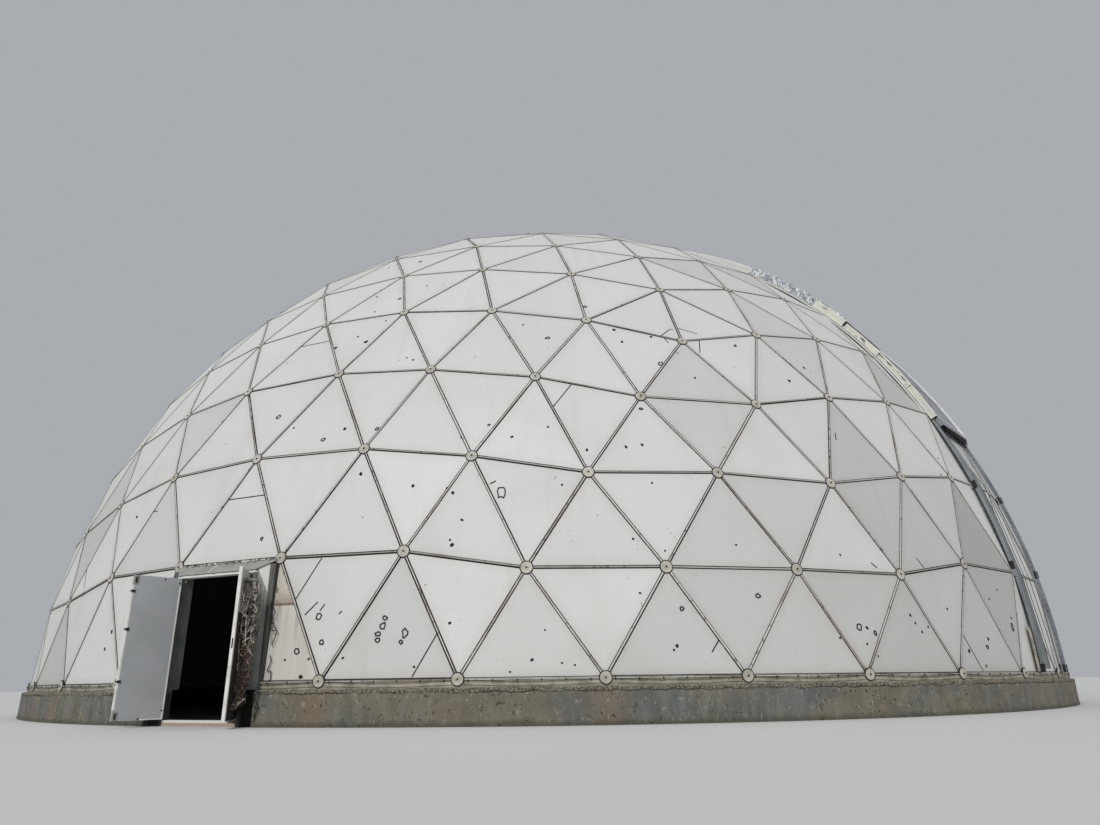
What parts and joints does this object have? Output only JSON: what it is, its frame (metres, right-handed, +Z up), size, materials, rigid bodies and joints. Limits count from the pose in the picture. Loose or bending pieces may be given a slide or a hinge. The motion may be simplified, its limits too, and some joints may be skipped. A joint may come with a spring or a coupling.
{
  "type": "observatory dome",
  "caption": "Geodesic observatory half dome on a concrete plinth ring, with a hinged double door and a slit closed by two sliding covers.",
  "frame": {"origin": "on the ground at the dome's vertical axis", "axes": "+Z up, -Y towards the door, +X to the right as seen facing the door"},
  "size_m": [30.3, 31.0574, 15.87],
  "materials": {
    "panel": "satin, weathered",
    "concrete": "rough weathered concrete",
    "strip": "weathered",
    "dark_steel": "satin, weathered",
    "grey_paint": "satin, weathered",
    "leaf_grey": "satin",
    "trim_white": "satin",
    "cover_cream": "satin, weathered"
  },
  "bodies": {
    "dome_structure": {"plinth_1": "concrete", "base_strip_1": "strip", "plinth_2": "concrete", "base_strip_2": "strip", "plinth_3": "concrete", "base_strip_3": "strip", "plinth_4": "concrete", "base_strip_4": "strip", "shell_crown_1_near": "panel", "shell_crown_1_far": "panel", "shell_crown_2": "panel", "shell_crown_3": "panel", "shell_crown_4": "panel", "shell_crown_5": "panel", "shell_band_1": "panel", "shell_band_2": "panel", "shell_band_3": "panel", "shell_band_4": "panel", "shell_band_5_over_door": "panel", "shell_band_5_left": "panel", "shell_band_5_right": "panel", "shell_foot_1": "panel", "shell_foot_2": "panel", "shell_foot_3": "panel", "shell_foot_4": "panel", "shell_foot_5": "panel", "jamb_left": "grey_paint", "jamb_right": "grey_paint", "portal_side_left": "dark_steel", "portal_side_right": "dark_steel", "gusset_left": "panel", "gusset_right": "panel", "lintel": "trim_white", "header_panel": "grey_paint", "door_sill": "trim_white", "slit_rail_near": "dark_steel", "slit_rail_far": "dark_steel"},
    "left_leaf": {"left_door_leaf": "leaf_grey"},
    "right_leaf": {"right_door_leaf": "leaf_grey"},
    "lower_cover": {"lower_cover_top": "cover_cream", "lower_cover_side_near": "cover_cream", "lower_cover_side_far": "cover_cream"},
    "upper_cover": {"upper_cover_top": "cover_cream", "upper_cover_side_near": "cover_cream", "upper_cover_side_far": "cover_cream"}
  },
  "joints": [
    {"name": "left_door_hinge", "type": "hinge", "parent": "dome_structure", "child": "left_leaf", "pos_m": [-0.85, -15.055, 0], "axis": [0, 0, -1], "range_deg": [-109, 56]},
    {"name": "right_door_hinge", "type": "hinge", "parent": "dome_structure", "child": "right_leaf", "pos_m": [0.85, -15.055, 0], "axis": [0, 0, 1], "range_deg": [-125, 11]},
    {"name": "lower_cover_travel", "type": "hinge", "parent": "dome_structure", "child": "lower_cover", "pos_m": [0, 0, 0.7], "axis": [-0.309, -0.9511, 0], "range_deg": [-22, 33]},
    {"name": "upper_cover_travel", "type": "hinge", "parent": "dome_structure", "child": "upper_cover", "pos_m": [0, 0, 0.7], "axis": [-0.309, -0.9511, 0], "range_deg": [-13.2, 19.8]}
  ],
  "couplings": [
    {"joint": "upper_cover_travel", "follows": "lower_cover_travel", "ratio": 0.6}
  ]
}
